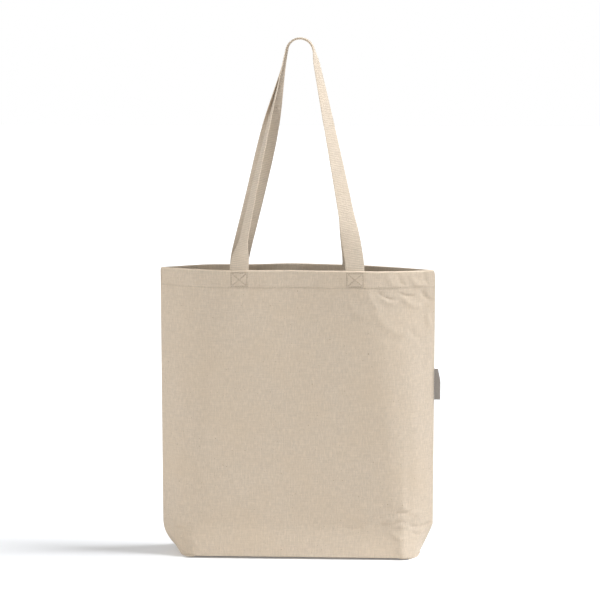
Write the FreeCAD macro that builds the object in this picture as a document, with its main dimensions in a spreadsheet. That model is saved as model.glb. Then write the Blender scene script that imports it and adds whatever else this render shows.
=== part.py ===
"""Canvas tote bag: two boxed canvas panels, two webbing handles, seams, stitches and a label.

The bag stands on its boxed base. +Z is up, the front panel faces -Y, and the origin is on the
surface under the middle of the base. Every length is in millimetres.
"""
import FreeCAD, Part
import math
import os

import Sketcher

doc = FreeCAD.newDocument("CanvasToteBag")

# ---------------------------------------------------------------- driving dimensions

SIZES = [
    ("rim_height", 390.0),          # surface to the rim of the standing bag
    ("seam_width", 368.0),          # side seam to side seam, above the boxed corners
    ("rim_front_width", 200.0),     # flat middle of a panel at the rim, between its soft folds
    ("rim_depth", 64.6),            # front panel to back panel at the rim
    ("crease_height", 50.0),        # height of the boxed corners
    ("crease_front_width", 290.0),  # flat middle of a panel at the top of the boxed corners
    ("crease_depth", 60.0),         # front panel to back panel at that height
    ("base_length", 300.0),         # boxed base, along X
    ("base_depth", 80.0),           # boxed base, along Y
    ("canvas", 1.0),                # one layer of canvas
    ("hem_height", 25.0),           # canvas folded to the inside at the rim
    ("webbing_width", 25.0),
    ("webbing_thickness", 1.8),
    ("handle_spacing", 156.0),      # middle to middle of one handle's two ends
    ("handle_rise", 307.0),         # rim to the top of the outer handle
    ("arch_radius", 17.3),          # middle of the inner handle's webbing, round its top
    ("nest_gap", 3.2),              # between the two handles where one passes over the other
    ("tail_length", 23.0),          # webbing sewn down inside the hem
    ("box_width", 22.0),            # sewn box with a cross in it, over each tail
    ("box_height", 19.0),
    ("box_drop", 3.0),              # rim to the top of the sewn box
    ("thread_width", 0.8),
    ("thread_height", 0.3),         # how far a line of thread stands proud of the canvas
    ("hem_stitch_rise", 1.5),       # bottom of the hem to its line of stitches
    ("seam_allowance", 10.0),       # overlocked edge inside each seam
    ("seam_thickness", 1.6),
    ("label_height", 42.0),
    ("label_width", 7.5),
    ("label_thickness", 1.0),
    ("label_middle", 233.0),        # surface to the middle of the label
    ("clearance", 0.3),
]

sheet = doc.addObject("Spreadsheet::Sheet", "Sizes")
for row, (alias, size) in enumerate(SIZES, start=1):
    sheet.set(f"A{row}", alias)
    sheet.set(f"B{row}", str(size))
    sheet.setAlias(f"B{row}", alias)
doc.recompute()

FRONT, BACK = -1, 1
LEFT, RIGHT = -1, 1

# The back handle nests inside the front one, so its two ends stand a little closer together.
SPACING = {
    FRONT: "Sizes.handle_spacing",
    BACK: "(Sizes.handle_spacing - 2 * Sizes.webbing_thickness - Sizes.nest_gap)",
}


def cell(alias):
    """The expression that reads one driving dimension."""
    return f"Sizes.{alias}"


def number(expression):
    """The value that an expression has now, as a plain number."""
    return float(sheet.evalExpression(expression))


# ---------------------------------------------------------------- outline of the bag, by height

# Half of the bag's outline has three sizes at each height: the side seam's distance from the
# middle, where the flat middle of the panel ends, and the panel's distance from the middle.
BASE = ("Sizes.base_length / 2", "Sizes.base_length / 2", "Sizes.base_depth / 2")
CREASE = ("Sizes.seam_width / 2", "Sizes.crease_front_width / 2", "Sizes.crease_depth / 2")
RIM = ("Sizes.seam_width / 2", "Sizes.rim_front_width / 2", "Sizes.rim_depth / 2")
HEM_BOTTOM = "(Sizes.rim_height - Sizes.hem_height)"


def slant_length(outline):
    """Length of the slanted side of the panel, from its flat middle to the seam."""
    seam, flat, depth = outline
    return f"sqrt(({seam} - {flat})^2 + ({depth})^2)"


def seam_reach(outline, inset):
    """Distance from the middle to the seam's corner, on a face set in by inset."""
    seam, flat, depth = outline
    return f"({seam} - ({inset}) * {slant_length(outline)} / ({depth}))"


def fold_reach(outline, inset):
    """Distance from the middle to the soft fold, on a face set in by inset."""
    seam, flat, depth = outline
    return f"({flat} - ({inset}) * ({slant_length(outline)} - ({seam} - {flat})) / ({depth}))"


def wall_points(outline, side, outer, inner):
    """Corners of half a wall, between a face set in by outer and one set in by inner."""
    depth = outline[2]
    points = []
    for inset, ends in ((outer, (-1, 1)), (inner, (1, -1))):
        first, last = ends
        across = f"{side} * ({depth} - ({inset}))"
        points.append((f"{first} * {seam_reach(outline, inset)}", "0"))
        points.append((f"{first} * {fold_reach(outline, inset)}", across))
        points.append((f"{last} * {fold_reach(outline, inset)}", across))
        points.append((f"{last} * {seam_reach(outline, inset)}", "0"))
    return points


# ---------------------------------------------------------------- sketches and features


def new_body(label):
    body = doc.addObject("PartDesign::Body", label)
    body.Label = label
    return body


def origin_plane(body, role):
    return next(plane for plane in body.Origin.OriginFeatures if plane.Role == role)


def draw_loop(sketch, points):
    """A closed outline, each corner held to its two expressions."""
    corners = [FreeCAD.Vector(number(x), number(y), 0) for x, y in points]
    first = sketch.GeometryCount
    count = len(corners)
    for index, corner in enumerate(corners):
        sketch.addGeometry(Part.LineSegment(corner, corners[(index + 1) % count]), False)
    for index in range(count):
        line, following = first + index, first + (index + 1) % count
        sketch.addConstraint(Sketcher.Constraint("Coincident", line, 2, following, 1))
    for index, (x, y) in enumerate(points):
        hold(sketch, first + index, "DistanceX", x, -2)
        hold(sketch, first + index, "DistanceY", y, -1)


def hold(sketch, line, kind, expression, axis):
    """Holds a line's start to an expression, or to the axis where the expression is 0."""
    if expression == "0":
        sketch.addConstraint(Sketcher.Constraint("PointOnObject", line, 1, axis))
        return
    made = sketch.addConstraint(Sketcher.Constraint(kind, -1, 1, line, 1, number(expression)))
    sketch.setExpression(f"Constraints[{made}]", expression)


def draw(body, name, role, offset, *loops):
    """A sketch on one of the body's own planes, moved along the plane's normal by offset."""
    sketch = body.newObject("Sketcher::SketchObject", name)
    sketch.AttachmentSupport = (origin_plane(body, role), "")
    sketch.MapMode = "FlatFace"
    sketch.setExpression("AttachmentOffset.Base.z", offset)
    for points in loops:
        draw_loop(sketch, points)
    return sketch


def pad(body, name, sketch, length, reversed_way=False, midplane=False):
    feature = body.newObject("PartDesign::Pad", name)
    feature.Profile = sketch
    feature.setExpression("Length", length)
    feature.Reversed = reversed_way
    feature.Midplane = midplane
    return feature


def loft(body, name, sketches):
    feature = body.newObject("PartDesign::AdditiveLoft", name)
    feature.Profile = sketches[0]
    feature.Sections = sketches[1:]
    feature.Ruled = True
    return feature


def rectangle(x_low, x_high, y_low, y_high):
    return [(x_low, y_low), (x_high, y_low), (x_high, y_high), (x_low, y_high)]


# ---------------------------------------------------------------- canvas panels


def canvas_panel(label, side):
    """One panel: its wall, the folded hem round the rim, and its half of the boxed base."""
    body = new_body(label)
    layer = cell("canvas")
    sections = []
    for name, height, outline in (("Foot", "0 mm", BASE), ("Crease", cell("crease_height"), CREASE),
                                  ("UnderHem", HEM_BOTTOM, RIM)):
        points = wall_points(outline, side, "0", layer)
        sections.append(draw(body, f"{label}{name}", "XY_Plane", height, points))
    loft(body, f"{label}Wall", sections)
    doubled = wall_points(RIM, side, "0", f"2 * {layer}")
    hem = draw(body, f"{label}HemOutline", "XY_Plane", HEM_BOTTOM, doubled)
    pad(body, f"{label}Hem", hem, cell("hem_height"))
    end, edge = BASE[0], f"{side} * {BASE[2]}"
    half_base = [(f"-{end}", "0"), (f"-{end}", edge), (end, edge), (end, "0")]
    base = draw(body, f"{label}BaseOutline", "XY_Plane", "0 mm", half_base)
    pad(body, f"{label}Base", base, layer)
    return body


# ---------------------------------------------------------------- webbing handles

# The strap's middle line rises from each end, slants in and closes in a round arch. Its face
# turns from the panel's own direction at the rim to straight up at the top of the arch.
LEG_STATIONS = 9
ARCH_STATIONS = 8
STRAIGHT_SHARE = 0.04     # of the leg, still flat to the panel
TURNED_SHARE = 0.78       # of the leg, where the webbing has turned right round


def handle_line(half_span, rise, radius):
    """Places, directions and turns along the strap's middle line, in its own upright plane."""
    foot = number("2 * Sizes.clearance")
    centre = rise - radius
    # The leg is tangent to the arch, so the slant comes from the right triangle of the two.
    reach = math.hypot(half_span, centre - foot)
    slant = math.atan2(half_span, centre - foot) - math.asin(radius / reach)
    shoulder = (radius * math.cos(slant), centre + radius * math.sin(slant))
    right = []
    for index in range(LEG_STATIONS + 1):
        share = index / LEG_STATIONS
        x = half_span + (shoulder[0] - half_span) * share
        z = foot + (shoulder[1] - foot) * share
        eased = min(1.0, max(0.0, (share - STRAIGHT_SHARE) / (TURNED_SHARE - STRAIGHT_SHARE)))
        turn = math.pi / 2 * eased * eased * (3 - 2 * eased)
        lean = 0.0 if index == 0 else slant
        right.append((x, z, lean, turn))
    for index in range(1, ARCH_STATIONS + 1):
        lean = slant + (math.pi / 2 - slant) * index / ARCH_STATIONS
        right.append((radius * math.cos(lean), centre + radius * math.sin(lean), lean, math.pi / 2))
    left = [(-x, z, math.pi - lean, turn) for x, z, lean, turn in right[:-1]]
    return left + right[::-1]


def station_placement(x, z, lean, turn, level):
    """Frame of one section: local X along the strap's width, local Y through its thickness.

    The angle level is turned off at the top of the arch, so that the webbing lies flat there.
    """
    outward = FreeCAD.Vector(math.cos(lean), 0, math.sin(lean))
    along = FreeCAD.Vector(math.sin(lean), 0, -math.cos(lean))
    face = FreeCAD.Vector(0, -1, 0) * math.cos(turn) + outward * math.sin(turn)
    levelled = FreeCAD.Rotation(along, level * math.sin(lean) * math.sin(turn))
    face = levelled.multVec(face)
    width = face.cross(along)
    rotation = FreeCAD.Rotation(width, face, along, "ZXY")
    return FreeCAD.Placement(FreeCAD.Vector(x, 0, z), rotation)


def webbing_handle(label, side, drop):
    """One loop of webbing from rim to rim, its top lower than the highest one by drop."""
    body = new_body(label)
    half_span = number(SPACING[side]) / 2
    rise = number(f"Sizes.handle_rise - Sizes.webbing_thickness / 2 - ({drop})")
    radius = number(f"Sizes.arch_radius + Sizes.webbing_thickness + Sizes.nest_gap - ({drop})")
    half_width, half_thickness = "Sizes.webbing_width / 2", "Sizes.webbing_thickness / 2"
    section = rectangle(f"-{half_width}", half_width, f"-{half_thickness}", half_thickness)
    # The handles lean in until their tops meet over the middle of the bag.
    stand = number("Sizes.rim_depth / 2 - 2 * Sizes.canvas - Sizes.webbing_thickness / 2")
    lean = math.degrees(math.atan2(stand, rise))
    sections = []
    for index, station in enumerate(handle_line(half_span, rise, radius)):
        sketch = draw(body, f"{label}Section{index}", "XY_Plane", "0 mm", section)
        sketch.setExpression("AttachmentOffset.Base.z", None)
        sketch.AttachmentOffset = station_placement(*station, lean)
        sections.append(sketch)
    loft(body, f"{label}Webbing", sections)
    upright = FreeCAD.Rotation(FreeCAD.Vector(1, 0, 0), -lean)
    half_turn = FreeCAD.Rotation(FreeCAD.Vector(0, 0, 1), 0 if side == FRONT else 180)
    at_rim = FreeCAD.Vector(0, side * stand, number(cell("rim_height")))
    body.Placement = FreeCAD.Placement(at_rim, half_turn.multiply(upright))
    return body


def handle_tail(label, side, end):
    """The webbing's end, sewn down against the inside of the hem."""
    body = new_body(label)
    middle = f"{end} * {SPACING[side]} / 2"
    outline = rectangle(f"{middle} - Sizes.webbing_width / 2", f"{middle} + Sizes.webbing_width / 2",
                        "Sizes.rim_height - Sizes.tail_length", cell("rim_height"))
    inside = "(Sizes.rim_depth / 2 - 2 * Sizes.canvas)"
    sketch = draw(body, f"{label}Outline", "XZ_Plane", f"{-side} * {inside}", outline)
    pad(body, f"{label}Webbing", sketch, cell("webbing_thickness"), reversed_way=side == FRONT)
    return body


# ---------------------------------------------------------------- lines of thread


def box_stitch(label, side, end):
    """A sewn box with a cross in it, standing proud of the outside of the hem."""
    body = new_body(label)
    thread = cell("thread_width")
    half_width, half_height = "Sizes.box_width / 2", "Sizes.box_height / 2"
    inner_width, inner_height = f"({half_width} - {thread})", f"({half_height} - {thread})"
    diagonal = f"sqrt({inner_width}^2 + {inner_height}^2)"
    aside = f"({thread} / 2 * {diagonal} / {inner_height})"
    above = f"({thread} / 2 * {diagonal} / {inner_width})"
    x = f"{end} * {SPACING[side]} / 2"
    z = "(Sizes.rim_height - Sizes.box_drop - Sizes.box_height / 2)"
    loops = [rectangle(f"{x} - {half_width}", f"{x} + {half_width}",
                       f"{z} - {half_height}", f"{z} + {half_height}")]
    for way in (-1, 1):
        loops.append([(f"{x} - ({inner_width} - {aside})", f"{z} + {way} * {inner_height}"),
                      (f"{x} + ({inner_width} - {aside})", f"{z} + {way} * {inner_height}"),
                      (x, f"{z} + {way} * {above}")])
        loops.append([(f"{x} + {way} * {inner_width}", f"{z} - ({inner_height} - {above})"),
                      (f"{x} + {way} * {inner_width}", f"{z} + ({inner_height} - {above})"),
                      (f"{x} + {way} * {aside}", z)])
    face = f"{-side} * Sizes.rim_depth / 2"
    sketch = draw(body, f"{label}Outline", "XZ_Plane", face, *loops)
    pad(body, f"{label}Thread", sketch, cell("thread_height"), reversed_way=side == BACK)
    return body


def hem_stitch(label, side):
    """The line of stitches along the bottom of the hem, right round the panel."""
    body = new_body(label)
    line = wall_points(RIM, side, "-Sizes.thread_height", "0")
    sketch = draw(body, f"{label}Outline", "XY_Plane", f"{HEM_BOTTOM} + Sizes.hem_stitch_rise", line)
    pad(body, f"{label}Thread", sketch, cell("thread_width"))
    return body


# ---------------------------------------------------------------- overlocked seams inside


def seam_face(outline):
    """Distance from the middle to the outer edge of a side seam's allowance."""
    seam, flat, depth = outline
    inside = seam_reach(outline, "Sizes.canvas + Sizes.clearance")
    return f"({inside} - Sizes.seam_thickness / 2 * ({seam} - {flat}) / ({depth}))"


def side_seam(label, end):
    """The overlocked allowance of a side seam, from the boxed corner up to the hem."""
    body = new_body(label)
    start = "(Sizes.canvas + Sizes.seam_thickness + Sizes.clearance)"
    low, high = seam_face(BASE), seam_face(CREASE)
    at_start = f"({low} + ({high} - {low}) * {start} / Sizes.crease_height)"
    half_thickness = "Sizes.seam_thickness / 2"
    sections = []
    for name, height, outer in (("Foot", start, at_start), ("Crease", cell("crease_height"), high),
                                ("Top", f"{HEM_BOTTOM} - Sizes.clearance", seam_face(RIM))):
        outline = rectangle(f"{end} * ({outer} - Sizes.seam_allowance)", f"{end} * {outer}",
                            f"-{half_thickness}", half_thickness)
        sections.append(draw(body, f"{label}{name}", "XY_Plane", height, outline))
    loft(body, f"{label}Allowance", sections)
    return body


def corner_seam(label, end):
    """The allowance of the seam across a boxed corner, lying on the base."""
    body = new_body(label)
    outer = "(Sizes.base_length / 2 - Sizes.canvas - Sizes.clearance)"
    half_depth = "(Sizes.base_depth / 2 - Sizes.canvas - Sizes.clearance)"
    outline = rectangle(f"{end} * ({outer} - Sizes.seam_allowance)", f"{end} * {outer}",
                        f"-{half_depth}", half_depth)
    sketch = draw(body, f"{label}Outline", "XY_Plane", cell("canvas"), outline)
    pad(body, f"{label}Allowance", sketch, cell("seam_thickness"))
    return body


def bottom_seam(label):
    """The allowance of the seam that joins the two panels under the bag."""
    body = new_body(label)
    half_length = "(Sizes.base_length / 2 - Sizes.canvas - 2 * Sizes.clearance - Sizes.seam_allowance)"
    outline = rectangle(f"-{half_length}", half_length,
                        "-Sizes.seam_allowance / 2", "Sizes.seam_allowance / 2")
    sketch = draw(body, f"{label}Outline", "XY_Plane", cell("canvas"), outline)
    pad(body, f"{label}Allowance", sketch, cell("seam_thickness"))
    return body


# ---------------------------------------------------------------- side label


def side_label(label):
    """A folded strip of woven tape, caught in the right-hand side seam."""
    body = new_body(label)
    start = "(Sizes.seam_width / 2 + 2 * Sizes.clearance)"
    outline = rectangle(start, f"{start} + Sizes.label_width",
                        "Sizes.label_middle - Sizes.label_height / 2",
                        "Sizes.label_middle + Sizes.label_height / 2")
    sketch = draw(body, f"{label}Outline", "XZ_Plane", "0 mm", outline)
    pad(body, f"{label}Tape", sketch, cell("label_thickness"), midplane=True)
    return body


# ---------------------------------------------------------------- the bag

nodes = []
for side, side_name in ((FRONT, "front"), (BACK, "back")):
    nodes.append(canvas_panel(f"{side_name}_panel", side))
    nodes.append(hem_stitch(f"{side_name}_hem_stitch", side))
    for end, end_name in ((LEFT, "left"), (RIGHT, "right")):
        nodes.append(handle_tail(f"{side_name}_{end_name}_handle_tail", side, end))
        nodes.append(box_stitch(f"{side_name}_{end_name}_box_stitch", side, end))

# The front handle passes over the back one where the two tops meet.
nodes.append(webbing_handle("front_handle", FRONT, "0"))
nodes.append(webbing_handle("back_handle", BACK, "Sizes.webbing_thickness + Sizes.nest_gap"))

for end, end_name in ((LEFT, "left"), (RIGHT, "right")):
    nodes.append(side_seam(f"{end_name}_side_seam", end))
    nodes.append(corner_seam(f"{end_name}_corner_seam", end))
nodes.append(bottom_seam("bottom_seam"))
nodes.append(side_label("side_label"))

doc.recompute()

# ---------------------------------------------------------------- checks and files

for item in doc.Objects:
    if "Invalid" in item.State or "Error" in item.State:
        raise RuntimeError(f"{item.Label} failed: {item.State}")
for node in nodes:
    if node.Shape.isNull() or not node.Shape.isValid() or len(node.Shape.Solids) != 1:
        raise RuntimeError(f"{node.Label} has no single valid solid")

os.makedirs("parts", exist_ok=True)
for node in nodes:
    node.Shape.exportStep(f"parts/{node.Label}.step")
    box = node.Shape.BoundBox
    print(f"{node.Label}: {node.Shape.Volume:.1f} mm3, X {box.XMin:.2f} to {box.XMax:.2f}, "
          f"Y {box.YMin:.2f} to {box.YMax:.2f}, Z {box.ZMin:.2f} to {box.ZMax:.2f}")
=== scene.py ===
"""Canvas tote bag, standing on its boxed base with both webbing handles raised."""

import math

import bmesh
import bpy
from mathutils import Matrix, Vector, noise


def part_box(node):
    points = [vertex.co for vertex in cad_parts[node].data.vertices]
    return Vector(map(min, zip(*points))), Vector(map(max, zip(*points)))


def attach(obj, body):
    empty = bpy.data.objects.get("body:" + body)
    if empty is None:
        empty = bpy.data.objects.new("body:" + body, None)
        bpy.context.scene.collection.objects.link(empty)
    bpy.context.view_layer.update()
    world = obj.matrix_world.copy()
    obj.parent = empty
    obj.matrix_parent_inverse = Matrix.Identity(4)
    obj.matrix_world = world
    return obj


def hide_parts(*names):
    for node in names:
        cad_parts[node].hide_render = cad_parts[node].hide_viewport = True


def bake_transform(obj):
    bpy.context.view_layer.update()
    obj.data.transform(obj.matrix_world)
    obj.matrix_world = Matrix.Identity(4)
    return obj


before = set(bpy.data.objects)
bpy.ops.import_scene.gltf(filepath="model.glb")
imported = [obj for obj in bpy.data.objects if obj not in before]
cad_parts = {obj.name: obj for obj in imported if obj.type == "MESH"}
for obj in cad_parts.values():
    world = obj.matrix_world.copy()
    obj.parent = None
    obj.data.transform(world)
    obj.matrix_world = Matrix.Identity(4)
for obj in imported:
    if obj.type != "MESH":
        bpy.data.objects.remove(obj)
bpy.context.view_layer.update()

# ------------------------------------------------------------------ canvas panels
# Two pieces of undyed cotton canvas, sewn together down both sides and along the bottom. The top
# edge of each is folded to the inside as a hem, and the two bottom corners are boxed, which gives
# the bag its flat base and the slanted corners above it.

MM = 0.001
FRONT, BACK = -1, 1
LEFT, RIGHT = -1, 1

panel_low, panel_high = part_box("front_panel")
RIM = panel_high[2]                 # floor to rim
SEAM = panel_high[0]                # middle to side seam
BASE_DEPTH = -panel_low[1]          # middle to the front edge of the base
BASE_REACH = 150 * MM               # middle to the end of the base
PANEL_HALF = 190 * MM               # half of the panel's cut width between its seams
CORNER_TOP = 50 * MM                # height of the boxed corners
HANDLE_DEPTH = 32.3 * MM            # middle to the outside of the hem where a handle is sewn on
CANVAS = 0.9 * MM                   # one layer
HEM = 25 * MM                       # depth of the hem
HEM_TURN = 1.4 * MM                 # radius of the fold along the rim


def eased(t):
    """0 to 1 with level ends."""
    t = min(max(t, 0.0), 1.0)
    return t * t * (3 - 2 * t)


def hill(distance, width):
    """1 at the middle of a bell, close to 0 at twice its width away."""
    return math.exp(-(distance / width) ** 2)


def ripple(x, y, z, size):
    """Smooth unevenness between about -1 and 1, with waves of about the given size."""
    return noise.noise(Vector((x, y, z)) / size)


def outline(side, end, height):
    """Seam reach, fold reach and depth of one quarter of the bag at one height."""
    above = max(height - CORNER_TOP, 0.0) / (RIM - CORNER_TOP)
    if end == LEFT:
        # This corner has slumped into a round one.
        below = max(1 - height / (44 * MM), 0.0)
        seam = SEAM - 25 * MM * below ** 2.3
        fold = 146 * MM - 1.5 * MM * below
    else:
        below = max(1 - height / (41 * MM), 0.0)
        rounded = max(1 - (RIM - height) / (7 * MM), 0.0)
        seam = SEAM - 18.5 * MM * below ** 1.12 - 1.5 * MM * rounded ** 2
        fold = 143 * MM + 5 * MM * below
    fold -= 40 * MM * above ** 2.2
    low = eased(0.25 + 0.75 * height / CORNER_TOP) if height < CORNER_TOP else 1.0
    low = (low - eased(0.25)) / (1 - eased(0.25))
    waist = 29.5 * MM if side == FRONT else 30.5 * MM
    depth = BASE_DEPTH + (waist - BASE_DEPTH) * low + (HANDLE_DEPTH - waist) * eased(above * 1.15)
    return seam, fold, depth


def section(side, height, across):
    """Point and outward direction on the outside of the bag, across in flat metres from the middle."""
    end = LEFT if across < 0 else RIGHT
    seam, fold, depth = outline(side, end, height)
    up = max(height - CORNER_TOP, 0.0) / (RIM - CORNER_TOP)
    slant = math.hypot(seam - fold, depth)
    reach = abs(across) / PANEL_HALF * (fold + slant)
    # The vertical fold beside each corner gets softer upwards.
    tight, widening = (6 * MM, 25 * MM) if end == RIGHT else (15 * MM, 16 * MM)
    soft = tight + widening * eased(height / (160 * MM))
    soft = min(soft, 0.45 * slant)
    corner = Vector((fold, depth))
    side_way = Vector((seam - fold, -depth)) / slant
    turn = min(max((reach - fold + soft) / (2 * soft), 0.0), 1.0)
    if reach <= fold - soft:
        place = Vector((reach, depth))
    elif reach >= fold + soft:
        place = corner + side_way * (reach - fold)
    else:
        before, after = corner - Vector((soft, 0)), corner + side_way * soft
        place = before * (1 - turn) ** 2 + corner * 2 * turn * (1 - turn) + after * turn ** 2
    along = Vector((1, 0)).lerp(side_way, turn).normalized()
    outward = Vector((-along.y, along.x))
    # The slanted sides belly out a little, and the mouth bows between the handles.
    belly = 1.6 * MM + 3.5 * MM * (1 - low_share(height))
    place += outward * belly * math.sin(math.pi * eased((reach - fold) / slant))
    x = math.copysign(place.x, across)
    if side == FRONT:
        bow = -4.5 * MM * hill(x, 46 * MM)
    else:
        bow = 11.5 * MM * hill(x - 6 * MM, 40 * MM)
    y = place.y + bow * up ** 2
    return x, side * y, Vector((math.copysign(outward.x, across), side * outward.y, 0))


def up_share(height):
    """0 below the hem and 1 at the rim."""
    return eased((height - RIM + 60 * MM) / (60 * MM))


def low_share(height):
    """0 at the base and 1 above the boxed corners."""
    return eased(height / CORNER_TOP)


def pinch(x, z, start, end, width):
    """1 along a short fold from start to end, both in millimetres, fading out round it."""
    ax, az, bx, bz = start[0] * MM, start[1] * MM, end[0] * MM, end[1] * MM
    length = math.hypot(bx - ax, bz - az)
    ux, uz = (bx - ax) / length, (bz - az) / length
    along = ((x - ax) * ux + (z - az) * uz) / length
    off = (z - az) * ux - (x - ax) * uz
    off += 0.12 * length * math.sin(math.pi * min(max(along, 0.0), 1.0))
    return hill(off, width * MM) * eased(along * 4 + 0.3) * eased((1 - along) * 4 + 0.3)


# Short folds: start, end, width and height in millimetres, dents below zero.
FOLD_GAIN = 2.0                      # how much higher than listed the folds stand
FRONT_FOLDS = (
    ((108, 363), (128, 351), 2.2, -0.75), ((112, 358), (132, 346), 3.0, 0.55),
    ((136, 361), (156, 356), 1.8, -0.65), ((140, 354), (166, 340), 3.4, 0.60),
    ((164, 363), (183, 345), 2.6, -0.70), ((172, 330), (186, 306), 3.2, 0.55),
    ((150, 312), (166, 295), 2.6, -0.40), ((66, 352), (96, 326), 3.2, 0.40),
    ((94, 366), (112, 336), 3.0, 0.40), ((100, 340), (150, 300), 6.0, 0.45),
    ((120, 388), (132, 368), 3.4, 0.50), ((134, 388), (142, 370), 2.6, -0.50),
    ((150, 388), (164, 368), 3.6, 0.55), ((168, 386), (176, 368), 2.4, -0.45),
    ((36, 386), (52, 368), 4.0, 0.35), ((54, 384), (62, 368), 2.4, -0.35),
    ((-52, 388), (-40, 368), 3.4, 0.30), ((-104, 386), (-96, 366), 3.0, -0.30),
    ((-140, 386), (-128, 364), 4.0, 0.30), ((-160, 384), (-156, 350), 3.0, -0.30),
    ((60, 44), (92, 43), 2.2, -0.55), ((114, 50), (146, 52), 2.4, -0.60),
    ((118, 57), (150, 44), 3.0, 0.50), ((134, 62), (156, 66), 2.2, -0.45),
    ((150, 44), (182, 44), 2.4, -0.75), ((156, 34), (166, 30), 2.0, -0.70),
    ((126, 38), (148, 26), 3.2, 0.45), ((140, 74), (166, 58), 3.4, 0.45),
    ((-166, 39), (-154, 40), 1.5, -0.70), ((-172, 46), (-150, 34), 3.0, 0.40),
    ((-150, 30), (-128, 18), 3.4, 0.40), ((-140, 12), (-110, 8), 3.0, -0.30),
    ((20, 12), (80, 9), 2.6, -0.30), ((-70, 10), (-20, 14), 2.8, -0.25),
)
BACK_FOLDS = (
    ((-96, 362), (-120, 348), 2.6, -0.60), ((-112, 362), (-138, 336), 3.6, 0.50),
    ((-60, 350), (-40, 326), 3.2, 0.40), ((90, 362), (122, 346), 2.8, -0.50),
    ((96, 352), (140, 322), 4.6, 0.45), ((-150, 388), (-140, 368), 3.0, 0.45),
    ((140, 388), (152, 366), 3.2, -0.45), ((-50, 47), (10, 48), 2.6, -0.55),
    ((112, 50), (150, 52), 2.4, -0.55), ((-150, 44), (-178, 46), 2.4, -0.55),
    ((-120, 60), (-150, 40), 3.4, 0.45), ((30, 12), (90, 9), 2.8, -0.30),
)


def creases(side, x, z):
    """How far the cloth stands out of its even shape at one place, in metres."""
    lift = 1.1 * MM * ripple(x, side, z * 0.55, 0.085)
    lift += 0.45 * MM * ripple(x + 0.4, side, z, 0.030)
    lift += 0.16 * MM * ripple(x, side * 2, z + 0.2, 0.012)
    for start, end, width, height in FRONT_FOLDS if side == FRONT else BACK_FOLDS:
        if abs(x / MM - (start[0] + end[0]) / 2) < 60 and abs(z / MM - (start[1] + end[1]) / 2) < 50:
            lift += FOLD_GAIN * height * MM * pinch(x, z, start, end, width)
    if side == FRONT:
        # The bag was once folded flat along this line, across the right half.
        pressed = eased((x + 15 * MM) / (60 * MM)) * (1 - eased((x - 150 * MM) / (30 * MM)))
        line = CORNER_TOP - 4 * MM + 3 * MM * ripple(x, 0, 0.7, 0.05)
        pressed *= 0.5 + 0.9 * ripple(x, 7, 0.3, 0.025)
        lift -= 0.35 * MM * pressed * hill(z - line, 2.6 * MM)
        lift += 0.30 * MM * pressed * hill(z - line - 7 * MM, 5 * MM)
    # Folds rise from the corners of the base.
    for way in (LEFT, RIGHT):
        bend = x - way * (141 * MM + 3 * MM * ripple(z, way, side, 0.07))
        lift += 0.9 * MM * hill(bend, 5 * MM) * (1 - eased((z - 60 * MM) / (170 * MM)))
    # The seam allowance inside shows as a faint step beside each seam.
    lift += 0.30 * MM * eased((abs(x) - 170 * MM) / (3 * MM)) * eased((z - 60 * MM) / (30 * MM))
    return lift * eased(z / (14 * MM))


HANDLE_X = {(FRONT, LEFT): -75.5 * MM, (FRONT, RIGHT): 77 * MM,
            (BACK, LEFT): -80 * MM, (BACK, RIGHT): 71.5 * MM}
BOX_WIDTH, BOX_HEIGHT, BOX_DROP = 22 * MM, 19 * MM, 3 * MM
STITCH_LINE = RIM - HEM + 1.6 * MM


def hem_relief(side, x, z):
    """Relief of the hem: two layers, drawn in along the stitches and puckered at the handles."""
    doubled = 0.35 * MM * eased((z - STITCH_LINE + 2.5 * MM) / (3 * MM))
    drawn = 0.55 * MM * hill(z - STITCH_LINE, 1.5 * MM)
    pucker = 0.16 * MM * math.sin(x / (1.9 * MM)) * hill(z - STITCH_LINE, 6 * MM)
    pucker *= 0.6 + ripple(x, side, 0.5, 0.02)
    lift = doubled - drawn + pucker
    for end in (LEFT, RIGHT):
        beside = abs(x - HANDLE_X[side, end]) - BOX_WIDTH / 2
        above = abs(z - RIM + BOX_DROP + BOX_HEIGHT / 2) - BOX_HEIGHT / 2
        edge = max(beside, above)
        strength = 1.0 if (side, end) == (FRONT, RIGHT) else 0.55
        lift -= 0.60 * MM * strength * hill(edge, 1.5 * MM)
        inside = 1 - eased((edge + 2 * MM) / (5 * MM))
        lift += 0.45 * MM * strength * inside * ripple(x * 1.4, side + end, z, 0.0050)
    return lift


def canvas_point(side, across, length):
    """A place on the outside of one panel, from flat metres across and up from the base's edge."""
    turned = length - (RIM - HEM_TURN)
    height = min(max(length, 0.0), RIM - HEM_TURN)
    x, y, outward = section(side, height, across)
    relief = creases(side, x, height) + hem_relief(side, x, height)
    calm = eased((PANEL_HALF - abs(across)) / (9 * MM))
    place = Vector((x, y, height)) + outward * relief * calm
    if turned > 0:
        angle = min(turned / HEM_TURN, math.pi)
        place -= outward * HEM_TURN * (1 - math.cos(angle))
        place.z += HEM_TURN * math.sin(angle) - max(turned - math.pi * HEM_TURN, 0.0)
    # The rim sags a little towards its right-hand end and is rounded off at both seams.
    sag = 2.2 * MM * eased((x - 40 * MM) / (140 * MM)) - 0.6 * MM * ripple(x, side, 0.9, 0.05)
    place.z -= sag * up_share(height)
    near_seam = max(0.0, 1 - (PANEL_HALF - abs(across)) / (3.2 * MM))
    place.z -= 2.6 * MM * near_seam ** 2 * up_share(height)
    # The last thread along the seam turns in between the two panels.
    tuck = eased((abs(across) - PANEL_HALF + 1.2 * MM) / (1.2 * MM))
    place.x -= math.copysign(0.5 * MM * tuck, across)
    return place


EDGE_SOFT = 3.5 * MM                 # radius of the fold round the base
EDGE_LIFT = 2.4 * MM                 # the front and back edges don't quite touch the floor


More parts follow.
